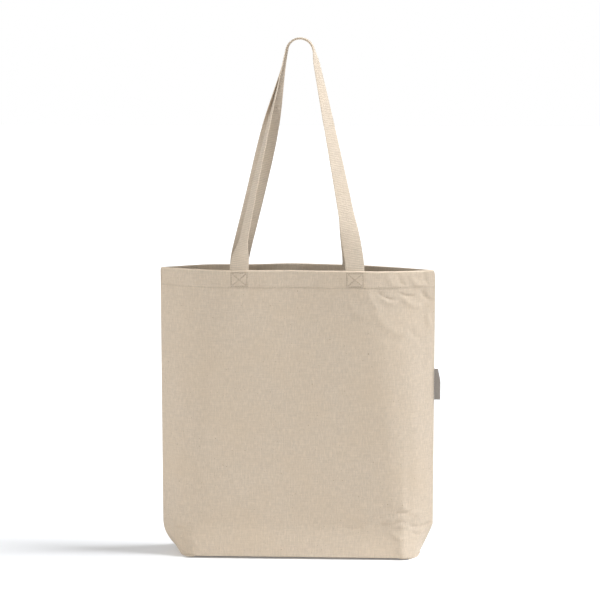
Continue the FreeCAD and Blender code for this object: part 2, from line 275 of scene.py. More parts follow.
def base_reach(end, depth):
    """Middle to the end of the base, at one distance in front of or behind the middle line."""
    seam, fold, full = outline(FRONT, end, 0.0)
    share = min(abs(depth) / full, 1.0)
    return seam + (fold - seam) * share + 4.6 * MM * math.sin(math.pi * eased(1 - share))


def panel_point(side, across, length):
    """A place on one panel, its half of the base included."""
    if length >= EDGE_SOFT or abs(across) > BASE_REACH:
        place = canvas_point(side, across, max(length, 0.0))
    else:
        end = LEFT if across < 0 else RIGHT
        inward = min(max(-length, 0.0), BASE_DEPTH - 0.15 * MM)
        rim_place = canvas_point(side, across, 0.0)
        reach = base_reach(end, BASE_DEPTH - inward) / base_reach(end, BASE_DEPTH)
        spread = (abs(across) / BASE_REACH) ** 4
        place = Vector((rim_place.x * (1 + (reach - 1) * spread), side * (BASE_DEPTH - inward), 0))
        place.z += EDGE_LIFT * (1 - eased(inward / (16 * MM)))
        if length > -EDGE_SOFT:
            edge = Vector((rim_place.x, side * BASE_DEPTH, EDGE_LIFT))
            start = edge - Vector((0, side * EDGE_SOFT, 0.4 * MM))
            top = canvas_point(side, across, EDGE_SOFT)
            t = (length + EDGE_SOFT) / (2 * EDGE_SOFT)
            place = start * (1 - t) ** 2 + edge * 2 * t * (1 - t) + top * t ** 2
        tuck = eased((inward - BASE_DEPTH + 1.4 * MM) / (1.2 * MM))
        place.z += 0.4 * MM * tuck
    place.y = side * max(side * place.y, 0.15 * MM)
    return place


def steps(start, end, count):
    return [start + (end - start) * index / count for index in range(count)]


def cloth_grid(name, across, along, place):
    """A sheet of cloth: a grid whose places and flat UV sizes come from two lists of distances."""
    bpy.ops.object.select_all(action="DESELECT")
    columns, rows = len(across) - 1, len(along) - 1
    bpy.ops.mesh.primitive_grid_add(x_subdivisions=columns, y_subdivisions=rows, size=1)
    piece = bpy.context.object
    piece.name = name
    flat = []
    for vertex in piece.data.vertices:
        column = round((vertex.co.x + 0.5) * columns)
        row = round((vertex.co.y + 0.5) * rows)
        flat.append((across[column], along[row]))
    for vertex, (u, v) in zip(piece.data.vertices, flat):
        vertex.co = place(u, v)
    layer = piece.data.uv_layers.active.data
    for loop in piece.data.loops:
        layer[loop.index].uv = flat[loop.vertex_index]
    return piece


def apply_modifier(piece, kind, **settings):
    bpy.ops.object.select_all(action="DESELECT")
    piece.select_set(True)
    bpy.context.view_layer.objects.active = piece
    modifier = piece.modifiers.new(kind.title(), kind)
    for key, value in settings.items():
        setattr(modifier, key, value)
    bpy.ops.object.modifier_apply(modifier=modifier.name)


def smooth(piece, angle=50):
    bpy.ops.object.select_all(action="DESELECT")
    piece.select_set(True)
    bpy.context.view_layer.objects.active = piece
    bpy.ops.object.shade_smooth_by_angle(angle=math.radians(angle))


def new_group(name, inputs, outputs):
    """An empty shader group with its sockets, and its two end nodes."""
    group = bpy.data.node_groups.new(name, "ShaderNodeTree")
    for label, kind, value in inputs:
        socket = group.interface.new_socket(label, in_out="INPUT", socket_type=kind)
        if value is not None:
            socket.default_value = value
    for label, kind in outputs:
        group.interface.new_socket(label, in_out="OUTPUT", socket_type=kind)
    start = group.nodes.new("NodeGroupInput")
    end = group.nodes.new("NodeGroupOutput")
    return group, start, end


class Wiring:
    """Adds nodes to one tree in short lines."""

    def __init__(self, tree):
        self.tree = tree

    def node(self, kind, **settings):
        made = self.tree.nodes.new(kind)
        for key, value in settings.items():
            setattr(made, key, value)
        return made

    def join(self, source, target):
        if hasattr(source, "links"):
            self.tree.links.new(source, target)
        else:
            target.default_value = source

    def math(self, operation, first, second=None):
        made = self.node("ShaderNodeMath", operation=operation)
        self.join(first, made.inputs[0])
        if second is not None:
            self.join(second, made.inputs[1])
        return made.outputs[0]

    def noise(self, vector, scale, detail=2.0, roughness=0.5):
        made = self.node("ShaderNodeTexNoise")
        self.join(vector, made.inputs["Vector"])
        made.inputs["Scale"].default_value = scale
        made.inputs["Detail"].default_value = detail
        made.inputs["Roughness"].default_value = roughness
        return made.outputs["Fac"]

    def stretch(self, vector, sizes):
        made = self.node("ShaderNodeMapping")
        self.join(vector, made.inputs["Vector"])
        made.inputs["Scale"].default_value = sizes
        return made.outputs["Vector"]

    def range(self, value, low, high, to_low=0.0, to_high=1.0):
        made = self.node("ShaderNodeMapRange")
        self.join(value, made.inputs["Value"])
        for label, size in (("From Min", low), ("From Max", high),
                            ("To Min", to_low), ("To Max", to_high)):
            self.join(size, made.inputs[label])
        return made.outputs["Result"]

    def tint(self, factor, first, second):
        made = self.node("ShaderNodeMix", data_type="RGBA")
        self.join(factor, made.inputs["Factor"])
        self.join(first, made.inputs["A"])
        self.join(second, made.inputs["B"])
        return made.outputs["Result"]


def weave_group():
    """Plain weave: crossing threads that wander, swell and pass over and under each other."""
    group, start, end = new_group(
        "plain_weave",
        [("Flat", "NodeSocketVector", None), ("Warp pitch", "NodeSocketFloat", 0.001),
         ("Weft pitch", "NodeSocketFloat", 0.001), ("Wander", "NodeSocketFloat", 0.3)],
        [("Height", "NodeSocketFloat"), ("Threads", "NodeSocketFloat")])
    w = Wiring(group)
    split = w.node("ShaderNodeSeparateXYZ")
    w.join(start.outputs["Flat"], split.inputs[0])
    drift_u = w.noise(w.stretch(start.outputs["Flat"], (900, 60, 1)), 1.0)
    drift_v = w.noise(w.stretch(start.outputs["Flat"], (60, 900, 1)), 1.0)
    profiles, waves, streaks = [], [], []
    for axis, pitch, drift in (("X", "Warp pitch", drift_u), ("Y", "Weft pitch", drift_v)):
        turns = w.math("DIVIDE", split.outputs[axis], start.outputs[pitch])
        shift = w.math("MULTIPLY", w.math("SUBTRACT", drift, 0.5), start.outputs["Wander"])
        turns = w.math("MULTIPLY", w.math("ADD", turns, shift), math.pi)
        wave = w.math("COSINE", turns)
        waves.append(wave)
        profiles.append(w.math("MULTIPLY", wave, wave))
        streaks.append(drift)
    over = w.range(w.math("MULTIPLY", waves[0], waves[1]), -0.7, 0.7)
    under = w.math("SUBTRACT", 1.0, over)
    height = w.math("ADD", w.math("MULTIPLY", profiles[0], over), w.math("MULTIPLY", profiles[1], under))
    threads = w.math("ADD", w.math("MULTIPLY", streaks[0], over), w.math("MULTIPLY", streaks[1], under))
    w.join(height, end.inputs["Height"])
    w.join(threads, end.inputs["Threads"])
    return group


plain_weave = weave_group()


def line_mask(w, distance, inner, outer):
    """1 on a line and 0 away from it, from the distance to it."""
    return w.range(distance, inner, outer, 1.0, 0.0)


def sewn_box_group():
    """Mask of the painted shade along the stitch lines of a sewn box with a cross, seen from the front.
    """
    group, start, end = new_group(
        "sewn_box",
        [("Place", "NodeSocketVector", None), ("Middle", "NodeSocketFloat", 0.0),
         ("Height", "NodeSocketFloat", 0.0), ("Half width", "NodeSocketFloat", 0.0104),
         ("Half height", "NodeSocketFloat", 0.0089)],
        [("Mask", "NodeSocketFloat")])
    w = Wiring(group)
    split = w.node("ShaderNodeSeparateXYZ")
    w.join(start.outputs["Place"], split.inputs[0])
    x = w.math("SUBTRACT", split.outputs["X"], start.outputs["Middle"])
    z = w.math("SUBTRACT", split.outputs["Z"], start.outputs["Height"])
    beside = w.math("SUBTRACT", w.math("ABSOLUTE", x), start.outputs["Half width"])
    above = w.math("SUBTRACT", w.math("ABSOLUTE", z), start.outputs["Half height"])
    outside = w.math("MAXIMUM", beside, above)
    frame_line = w.math("ABSOLUTE", outside)
    slope = w.math("DIVIDE", start.outputs["Half height"], start.outputs["Half width"])
    rising = w.math("ABSOLUTE", w.math("SUBTRACT", z, w.math("MULTIPLY", x, slope)))
    falling = w.math("ABSOLUTE", w.math("ADD", z, w.math("MULTIPLY", x, slope)))
    cross = w.math("MULTIPLY", w.math("MINIMUM", rising, falling), 0.76)
    cross = w.math("MAXIMUM", cross, outside)
    mask = line_mask(w, w.math("MINIMUM", frame_line, cross), 0.35 * MM, 1.0 * MM)
    broken = w.range(w.noise(start.outputs["Place"], 420.0, 1.0), 0.35, 0.62, 0.45, 1.0)
    w.join(w.math("MULTIPLY", mask, broken), end.inputs["Mask"])
    return group


sewn_box = sewn_box_group()


def cloth_material(name, colour, weft_pitch, warp_pitch, depth, slub, flecks, wander=0.35, sheen=0.12,
                   boxes=(), hem=False):
    """Matt woven cotton: weave with painted shade in its hollows, uneven yarn, seed flecks, painted
    shade along the stitch lines and a painted highlight along the rim fold.
    """
    material = bpy.data.materials.new(name)
    material.use_nodes = True
    w = Wiring(material.node_tree)
    shader = material.node_tree.nodes["Principled BSDF"]
    flat = w.node("ShaderNodeUVMap").outputs["UV"]
    weave = w.node("ShaderNodeGroup")
    weave.node_tree = plain_weave
    w.join(flat, weave.inputs["Flat"])
    weave.inputs["Warp pitch"].default_value = warp_pitch
    weave.inputs["Weft pitch"].default_value = weft_pitch
    weave.inputs["Wander"].default_value = wander
    # Painted shade: the weave's hollows are darker, where the threads dip under each other.
    weave_hollow_shade = [part * 0.64 for part in colour]
    pale = [min(part * 1.16, 1.0) for part in colour]
    dull = [colour[0] * 0.86, colour[1] * 0.83, colour[2] * 0.78]
    body = w.tint(weave.outputs["Height"], (*weave_hollow_shade, 1), (*colour, 1))
    body = w.tint(w.range(weave.outputs["Threads"], 0.42, 0.66, 0.0, slub), body, (*pale, 1))
    thick = w.range(w.noise(w.stretch(flat, (110, 620, 1)), 1.0, 2.0, 0.6), 0.42, 0.68, 0.0, slub)
    body = w.tint(thick, body, (*dull, 1))
    upright = w.noise(w.stretch(flat, (560, 130, 1)), 1.0, 2.0, 0.6)
    upright = w.range(upright, 0.46, 0.70, 0.0, slub * 0.8)
    body = w.tint(upright, body, (*pale, 1))
    warm = [colour[0] * 0.93, colour[1] * 0.88, colour[2] * 0.80]
    patch = w.range(w.noise(flat, 14.0, 3.0), 0.40, 0.75, 0.0, 0.35)
    body = w.tint(patch, body, (*warm, 1))
    speck = w.noise(w.stretch(flat, (420, 360, 1)), 1.0, 1.0)
    speck = w.range(speck, 0.715, 0.78, 0.0, flecks)
    body = w.tint(speck, body, (0.20, 0.12, 0.06, 1))
    relief = w.math("ADD", weave.outputs["Height"], w.math("MULTIPLY", weave.outputs["Threads"], 0.8))
    # Painted shade along the stitch lines of each sewn box, darker where the cloth is drawn in.
    for middle in boxes:
        stitch_shade = w.node("ShaderNodeGroup")
        stitch_shade.node_tree = sewn_box
        w.join(w.node("ShaderNodeTexCoord").outputs["Object"], stitch_shade.inputs["Place"])
        stitch_shade.inputs["Middle"].default_value = middle
        stitch_shade.inputs["Height"].default_value = RIM - BOX_DROP - BOX_HEIGHT / 2
        body = w.tint(w.math("MULTIPLY", stitch_shade.outputs["Mask"], 0.55), body, (0.24, 0.17, 0.11, 1))
        relief = w.math("SUBTRACT", relief, w.math("MULTIPLY", stitch_shade.outputs["Mask"], 2.5))
    if hem:
        # Painted shade: a darker line along the hem's line of stitches, where the cloth is drawn in.
        split = w.node("ShaderNodeSeparateXYZ")
        w.join(flat, split.inputs[0])
        off = w.math("ABSOLUTE", w.math("SUBTRACT", split.outputs["Y"], STITCH_LINE))
        stitch_shade = line_mask(w, off, 0.3 * MM, 0.9 * MM)
        stitch_shade = w.math("MULTIPLY", stitch_shade, w.range(w.noise(flat, 330.0, 1.0), 0.40, 0.62, 0.15, 0.8))
        body = w.tint(w.math("MULTIPLY", stitch_shade, 0.45), body, (0.26, 0.19, 0.12, 1))
        relief = w.math("SUBTRACT", relief, w.math("MULTIPLY", stitch_shade, 1.5))
        # Painted highlight: a paler line along the top of the rim fold, where the fold catches the
        # light.
        top = RIM - HEM_TURN + HEM_TURN * 0.9
        off = w.math("ABSOLUTE", w.math("SUBTRACT", split.outputs["Y"], top))
        rim_highlight = line_mask(w, off, 0.7 * MM, 1.9 * MM)
        rim_highlight = w.math("MULTIPLY", rim_highlight, w.range(w.noise(flat, 90.0, 2.0), 0.3, 0.6, 0.35, 0.85))
        body = w.tint(rim_highlight, body, (*[min(part * 1.34, 1.0) for part in colour], 1))
    w.join(body, shader.inputs["Base Color"])
    w.join(w.range(weave.outputs["Height"], 0.0, 1.0, 0.97, 0.84), shader.inputs["Roughness"])
    shader.inputs["Specular IOR Level"].default_value = 0.25
    shader.inputs["Sheen Weight"].default_value = sheen
    shader.inputs["Sheen Roughness"].default_value = 0.5
    bump = w.node("ShaderNodeBump")
    bump.inputs["Strength"].default_value = 1.0
    bump.inputs["Distance"].default_value = depth
    w.join(relief, bump.inputs["Height"])
    w.join(bump.outputs["Normal"], shader.inputs["Normal"])
    return material


CANVAS_COLOUR = (0.640, 0.535, 0.418)
CANVAS_WEAVE = {"weft_pitch": 1.05 * MM, "warp_pitch": 0.85 * MM, "depth": 0.30 * MM}
canvas = {side: cloth_material(f"{word}_canvas", CANVAS_COLOUR, **CANVAS_WEAVE, slub=0.48, flecks=0.5,
                               hem=True, boxes=[HANDLE_X[side, LEFT], HANDLE_X[side, RIGHT]])
          for side, word in ((FRONT, "front"), (BACK, "back"))}

half_width = (steps(-PANEL_HALF, -PANEL_HALF + 5 * MM, 4) + steps(-PANEL_HALF + 5 * MM, -BASE_REACH, 14)
              + steps(-BASE_REACH, 0, 60))
panel_across = half_width + [0.0] + [-across for across in reversed(half_width)]
fold_top = RIM - HEM_TURN
panel_along = (steps(-BASE_DEPTH, -BASE_DEPTH + 3 * MM, 3) + steps(-BASE_DEPTH + 3 * MM, -EDGE_SOFT, 13)
               + steps(-EDGE_SOFT, EDGE_SOFT, 8) + steps(EDGE_SOFT, 70 * MM, 38)
               + steps(70 * MM, 350 * MM, 104) + steps(350 * MM, fold_top, 32)
               + steps(fold_top, fold_top + math.pi * HEM_TURN, 7)
               + steps(fold_top + math.pi * HEM_TURN, fold_top + HEM, 10) + [fold_top + HEM])

for side, name in ((FRONT, "front_panel"), (BACK, "back_panel")):
    piece = cloth_grid(f"{name}_canvas", panel_across, panel_along,
                       lambda u, v, s=side: panel_point(s, -s * u, v))
    # The square cut from each bottom corner, where the boxed corner is sewn.
    bpy.ops.object.mode_set(mode="EDIT")
    edit = bmesh.from_edit_mesh(piece.data)
    flat = edit.loops.layers.uv.active
    for face in edit.faces:
        middle = sum((loop[flat].uv for loop in face.loops), Vector((0, 0))) / 4
        face.select_set(abs(middle.x) > BASE_REACH and middle.y < 0)
    bpy.ops.mesh.delete(type="FACE")
    bpy.ops.object.mode_set(mode="OBJECT")
    apply_modifier(piece, "SOLIDIFY", thickness=CANVAS, offset=-1, use_even_offset=False)
    smooth(piece)
    piece.data.materials.append(canvas[side])
    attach(piece, "bag")
    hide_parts(name)

# ------------------------------------------------------------------ webbing handles
# Two straps of 25 mm cotton webbing. Each end is sewn flat inside the hem, and the loops stand up,
# turning on the way so that they lie flat on each other at the top.

WEBBING, WEB_THICK = 25 * MM, 1.2 * MM
TAIL = 23 * MM
HANDLE_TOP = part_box("front_handle")[1][2] - RIM    # rim to the top of the loops
ARCH = 17.3 * MM                                   # middle of the inner webbing round its top
ARCH_X = 3.5 * MM                                  # the tops meet a little right of the middle
NEST = WEB_THICK + 0.15 * MM                       # outer loop's middle above the inner one's
LEG_STEPS, ARC_STEPS, TAIL_STEPS = 110, 24, 10
LEG_SOFT = 0.035                                   # share of a leg that leaves the rim upright


def loop_line(feet, rise, radius, bow):
    """Middle line of a standing loop in its own plane: (sideways, up) and its distance, by steps."""
    centre = rise - radius
    line = []
    for end in (LEFT, RIGHT):
        span = abs(feet[end] - ARCH_X)
        reach = math.hypot(span, centre)
        slant = math.atan2(span, centre) - math.asin(radius / reach)
        shoulder = Vector((ARCH_X + end * radius * math.cos(slant), centre + radius * math.sin(slant)))
        leg = []
        for index in range(LEG_STEPS):
            share = index / LEG_STEPS
            late = (share - LEG_SOFT * (1 - math.exp(-share / LEG_SOFT))) / (1 - LEG_SOFT)
            out = bow[end] * math.sin(math.pi * share ** 0.8) ** 1.2
            leg.append(Vector((feet[end] + (shoulder.x - feet[end]) * late + out, shoulder.y * share)))
        arc = []
        for index in range(ARC_STEPS):
            angle = slant + (math.pi / 2 - slant) * index / ARC_STEPS
            sideways = ARCH_X + end * radius * math.cos(angle)
            arc.append(Vector((sideways, centre + radius * math.sin(angle))))
        line.append(leg + arc)
    top = Vector((ARCH_X, rise))
    return line[0] + [top] + line[1][::-1]


def strap_frames(side, feet, rise, radius, twist, bow):
    """Centre, width direction and face direction of the strap at each step along it."""
    inside = side * (HANDLE_DEPTH - 2 * CANVAS - WEB_THICK / 2 - 0.2 * MM)
    lean = math.atan2(abs(inside), rise)
    line = loop_line(feet, rise, radius, bow)
    frames = []
    for index, spot in enumerate(line):
        before, after = line[max(index - 1, 0)], line[min(index + 1, len(line) - 1)]
        run = (after - before).normalized()
        share = spot.y / rise
        centre = Vector((spot.x, inside * (1 - share), RIM + spot.y * math.cos(lean)))
        plane_out = Vector((0, side * math.cos(lean), math.sin(lean)))
        upward = Vector((0, -side * math.sin(lean), math.cos(lean)))
        ahead = Vector((1, 0, 0)) * run.x + upward * run.y
        away = Vector((-1, 0, 0)) * run.y + upward * run.x
        end = LEFT if index <= len(line) // 2 else RIGHT
        turn = twist[end](spot.y)
        face = plane_out * math.cos(turn) + away * math.sin(turn)
        level = -side * lean * max(run.x, 0.0) * math.sin(turn)
        face = Matrix.Rotation(level, 3, ahead) @ face
        frames.append((centre, ahead.cross(face).normalized(), face))
    for end, foot in ((LEFT, frames[0]), (RIGHT, frames[-1])):
        down = []
        for index in range(1, TAIL_STEPS + 1):
            drop = TAIL * index / TAIL_STEPS
            centre = Vector((feet[end], inside, RIM - drop))
            down.append((centre, foot[1], Vector((0, side, 0))))
        frames = down[::-1] + frames if end == LEFT else frames + down
    return frames


def twist_profile(share, start, full, held=1.0):
    """Quarter turn up one leg: a share of it between two heights, and the rest spread evenly.

    A held-back part of the turn comes only close under the top.
    """
    def turn(height):
        quick = share * eased((height - start) / (full - start))
        spread = min(quick + (1 - share) * max(height, 0.0) / (HANDLE_TOP * 0.90), 1.0)
        last = eased((height - HANDLE_TOP + 36 * MM) / (26 * MM))
        return math.pi / 2 * (held * spread + (1 - held) * last)
    return turn


def webbing_material():
    """Ribbed cotton webbing: weft ribs across and warp columns along."""
    material = bpy.data.materials.new("webbing")
    material.use_nodes = True
    w = Wiring(material.node_tree)
    shader = material.node_tree.nodes["Principled BSDF"]
    flat = w.node("ShaderNodeUVMap").outputs["UV"]
    weave = w.node("ShaderNodeGroup")
    weave.node_tree = plain_weave
    w.join(flat, weave.inputs["Flat"])
    weave.inputs["Warp pitch"].default_value = 1.25 * MM
    weave.inputs["Weft pitch"].default_value = 2.3 * MM
    weave.inputs["Wander"].default_value = 0.22
    colour = WEBBING_COLOUR
    # Painted shade: the weave's hollows are darker, where the threads dip under each other.
    body = w.tint(weave.outputs["Height"], (*[part * 0.60 for part in colour], 1), (*colour, 1))
    pale = [min(part * 1.08, 1.0) for part in colour]
    body = w.tint(w.range(weave.outputs["Threads"], 0.42, 0.70, 0.0, 0.5), body, (*pale, 1))
    patch = w.range(w.noise(flat, 22.0, 3.0), 0.40, 0.75, 0.0, 0.30)
    body = w.tint(patch, body, (colour[0] * 0.94, colour[1] * 0.90, colour[2] * 0.83, 1))
    speck = w.range(w.noise(w.stretch(flat, (600, 500, 1)), 1.0, 1.0), 0.75, 0.81, 0.0, 0.5)
    body = w.tint(speck, body, (0.22, 0.14, 0.07, 1))
    w.join(body, shader.inputs["Base Color"])
    shader.inputs["Roughness"].default_value = 0.9
    shader.inputs["Specular IOR Level"].default_value = 0.25
    shader.inputs["Sheen Weight"].default_value = 0.12
    shader.inputs["Sheen Roughness"].default_value = 0.5
    bump = w.node("ShaderNodeBump")
    bump.inputs["Strength"].default_value = 0.9
    bump.inputs["Distance"].default_value = 0.50 * MM
    relief = w.math("ADD", weave.outputs["Height"], w.math("MULTIPLY", weave.outputs["Threads"], 0.6))
    w.join(relief, bump.inputs["Height"])
    w.join(bump.outputs["Normal"], shader.inputs["Normal"])
    return material


WEBBING_COLOUR = (0.690, 0.580, 0.455)
webbing = webbing_material()

# Side, node, height of the nested top, twist of the left and the right leg, and their outward bow.
HANDLES = (
    (FRONT, "front_handle", NEST, twist_profile(0.64, -2 * MM, 42 * MM),
     twist_profile(0.32, 30 * MM, 80 * MM, held=0.83),
     {LEFT: -2.0 * MM, RIGHT: 1.0 * MM}),
    (BACK, "back_handle", 0.0, twist_profile(0.96, 120 * MM, 300 * MM),
     twist_profile(0.92, 5 * MM, 130 * MM),
     {LEFT: 2.0 * MM, RIGHT: 3.5 * MM}),
)
for side, name, above, left_twist, right_twist, bow in HANDLES:
    feet = {end: HANDLE_X[side, end] for end in (LEFT, RIGHT)}
    rise = HANDLE_TOP - NEST - WEB_THICK / 2 + above
    frames = strap_frames(side, feet, rise, ARCH + above, {LEFT: left_twist, RIGHT: right_twist}, bow)
    distances = [0.0]
    for one, other in zip(frames, frames[1:]):
        distances.append(distances[-1] + (other[0] - one[0]).length)
    lookup = dict(zip(distances, frames))
    web_across = steps(-WEBBING / 2, WEBBING / 2, 12) + [WEBBING / 2]

    def strap_place(u, v, lookup=lookup):
        centre, width, face = lookup[v]
        cupped = 0.20 * MM * (2 * u / WEBBING) ** 2
        return centre + width * u - face * cupped

    strap = cloth_grid(f"{name}_strap", web_across, distances, strap_place)
    apply_modifier(strap, "SOLIDIFY", thickness=WEB_THICK, offset=0, use_even_offset=False)
    apply_modifier(strap, "BEVEL", width=0.4 * MM, segments=3, limit_method="ANGLE")
    smooth(strap, 60)
    strap.data.materials.append(webbing)
    tails = [f"{name.split('_')[0]}_{end}_handle_tail" for end in ("left", "right")]
    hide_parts(name, *tails)
    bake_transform(strap)

# ------------------------------------------------------------------ lines of stitches
# Cotton thread. A line runs right round the bottom of the hem, and a box with a cross in it is
# sewn through hem and webbing at each handle end, so its thread shows on both faces.

THREAD_COLOUR = (0.640, 0.540, 0.425)
thread = bpy.data.materials.new("thread")
thread.use_nodes = True
wiring = Wiring(thread.node_tree)
thread_shader = thread.node_tree.nodes["Principled BSDF"]
place_in_space = wiring.node("ShaderNodeTexCoord").outputs["Object"]
fuzz = wiring.noise(place_in_space, 2600.0, 3.0)
wiring.join(wiring.tint(fuzz, (*[part * 0.72 for part in THREAD_COLOUR], 1), (*THREAD_COLOUR, 1)),
            thread_shader.inputs["Base Color"])
thread_shader.inputs["Roughness"].default_value = 0.8
thread_shader.inputs["Sheen Weight"].default_value = 0.1
ply = wiring.node("ShaderNodeBump")
ply.inputs["Distance"].default_value = 0.1 * MM
wiring.join(fuzz, ply.inputs["Height"])
wiring.join(ply.outputs["Normal"], thread_shader.inputs["Normal"])

STITCH, THREAD = 2.9 * MM, 0.72 * MM
bpy.ops.object.select_all(action="DESELECT")
bpy.ops.mesh.primitive_uv_sphere_add(segments=8, ring_count=6, radius=0.5, rotation=(0, math.pi / 2, 0))
one_stitch = bpy.context.object
bpy.ops.object.transform_apply(rotation=True)
for vertex in one_stitch.data.vertices:
    x, y, z = vertex.co
    vertex.co = (x * STITCH * 0.9, y * THREAD, z * THREAD * 0.8 - x * x * THREAD * 1.3)
stitch_mesh = one_stitch.data


def stitch_row(edit, points, outward):
    """Stitches set end to end along a line of points, their backs to the cloth."""
    lengths = [(b - a).length for a, b in zip(points, points[1:])]
    count = max(round(sum(lengths) / STITCH), 1)
    for index in range(count):
        start = along_line(points, lengths, index / count)
        end = along_line(points, lengths, (index + 1) / count)
        ahead = (end - start).normalized()
        middle = (start + end) / 2
        up = outward(middle)
        across = up.cross(ahead).normalized()
        up = ahead.cross(across)
        first = len(edit.verts)
        edit.from_mesh(stitch_mesh)
        edit.verts.ensure_lookup_table()
        turn = Matrix((ahead, across, up)).transposed()
        lift = up * THREAD * 0.22
        for vertex in edit.verts[first:]:
            vertex.co = turn @ vertex.co + middle + lift


def along_line(points, lengths, share):
    """The point at a share of a line's length."""
    left = share * sum(lengths)
    for a, b, length in zip(points, points[1:], lengths):
        if left <= length or b is points[-1]:
            return a.lerp(b, min(left / length, 1.0))
        left -= length


def stitch_piece(name, rows, node):
    """One piece of thread from several rows of (points, outward)."""
    bpy.ops.object.select_all(action="DESELECT")
    bpy.ops.object.add(type="MESH")
    piece = bpy.context.object
    piece.name = name
    edit = bmesh.new()
    for points, outward in rows:
        stitch_row(edit, points, outward)
    edit.to_mesh(piece.data)
    edit.free()
    smooth(piece, 80)
    piece.data.materials.append(thread)
    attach(piece, "bag")
    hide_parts(node)


def on_panel(side, x, z):
    """A place on the outside of a panel, found from its sideways place and height."""
    low, high = -PANEL_HALF, PANEL_HALF
    for _ in range(24):
        middle = (low + high) / 2
        if canvas_point(side, middle, z).x < x:
            low = middle
        else:
            high = middle
    return canvas_point(side, low, z)


webbing_back = HANDLE_DEPTH - 2 * CANVAS - WEB_THICK - 0.2 * MM
for side, side_name in ((FRONT, "front"), (BACK, "back")):
    count = 150
    reach = PANEL_HALF - 1.5 * MM
    line = [canvas_point(side, -reach + 2 * reach * index / count, STITCH_LINE)
            for index in range(count + 1)]

    def hem_out(place, side=side):
        across = place.x / SEAM * PANEL_HALF
        return section(side, STITCH_LINE, across)[2]

    inner = [point - hem_out(point) * (2 * HEM_TURN + 0.05 * MM) for point in line]
    stitch_piece(f"{side_name}_hem_thread", [(line, hem_out), (inner, lambda p, s=side: -hem_out(p, s))],
                 f"{side_name}_hem_stitch")
    for end, end_name in ((LEFT, "left"), (RIGHT, "right")):
        middle_x, middle_z = HANDLE_X[side, end], RIM - BOX_DROP - BOX_HEIGHT / 2
        inset = THREAD
        wide, tall = BOX_WIDTH / 2 - inset, BOX_HEIGHT / 2 - inset
        corners = [(-wide, -tall), (wide, -tall), (wide, tall), (-wide, tall)]
        lines = [(corners[0], corners[1]), (corners[1], corners[2]), (corners[2], corners[3]),
                 (corners[3], corners[0]), (corners[0], corners[2]), (corners[1], corners[3])]
        rows = []
        for a, b in lines:
            outer_line, inner_line = [], []
            for index in range(9):
                x = middle_x + a[0] + (b[0] - a[0]) * index / 8
                z = middle_z + a[1] + (b[1] - a[1]) * index / 8
                outer_line.append(on_panel(side, x, z))
                inner_line.append(Vector((x, side * webbing_back, z)))
            rows.append((outer_line, lambda p, s=side: Vector((0, s, 0))))
            rows.append((inner_line, lambda p, s=side: Vector((0, -s, 0))))
        stitch_piece(f"{side_name}_{end_name}_box_thread", rows, f"{side_name}_{end_name}_box_stitch")

bpy.data.objects.remove(one_stitch)

# ------------------------------------------------------------------ overlocked seams inside
# The two layers of canvas left over inside each seam, about 10 mm wide, with their raw edges
# wrapped together in looped overlock thread.

SEAM_THICK = 1.6 * MM
seam_canvas = cloth_material("seam_canvas", CANVAS_COLOUR, **CANVAS_WEAVE, slub=0.42, flecks=0.8)
ALLOWANCE = 10 * MM


def seam_strip(name, node, spine, inward, flat_way):
    """A seam allowance: a strip along a spine of points, with thread looped round its free edge."""
    distances = [0.0]
    for a, b in zip(spine, spine[1:]):
        distances.append(distances[-1] + (b - a).length)
    lookup = dict(zip(distances, spine))

    def place(u, v):
        wave = 0.5 * MM * ripple(v, u * 0.3, 1.7, 0.02) * u / ALLOWANCE
        return lookup[v] + inward * u + flat_way * wave

    strip = cloth_grid(name, steps(0, ALLOWANCE, 5) + [ALLOWANCE], distances, place)
    apply_modifier(strip, "SOLIDIFY", thickness=SEAM_THICK * 0.8, offset=0)
    apply_modifier(strip, "BEVEL", width=0.4 * MM, segments=2, limit_method="ANGLE")
    smooth(strip)
    strip.data.materials.append(seam_canvas)
    loops = bpy.data.curves.new(f"{name}_overlock", "CURVE")
    loops.dimensions = "3D"
    loops.bevel_depth = 0.22 * MM
    loops.bevel_resolution = 1
    loops.resolution_u = 2
    along = (spine[-1] - spine[0]).normalized()
    turn_count = int(distances[-1] / (2.6 * MM))
    spline = loops.splines.new("POLY")
    per_turn = 8
    spline.points.add(turn_count * per_turn)
    for index in range(turn_count * per_turn + 1):
        angle = 2 * math.pi * index / per_turn
        v = distances[-1] * index / (turn_count * per_turn)
        nearest = min(range(len(spine)), key=lambda k: abs(distances[k] - v))
        base = spine[nearest] + along * (v - distances[nearest])
        u = ALLOWANCE - 2.0 * MM + 2.4 * MM * math.cos(angle)
        spot = base + inward * u + flat_way * (SEAM_THICK * 0.55 * math.sin(angle))
        spline.points[index].co = (*spot, 1)
    overlock = bpy.data.objects.new(f"{name}_overlock", loops)
    bpy.context.collection.objects.link(overlock)
    bpy.ops.object.select_all(action="DESELECT")
    overlock.select_set(True)
    bpy.context.view_layer.objects.active = overlock
    bpy.ops.object.convert(target="MESH")
    overlock = bpy.context.object
    smooth(overlock, 80)
    overlock.data.materials.append(thread)
    for piece in (strip, overlock):
        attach(piece, "bag")
        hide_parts(node)


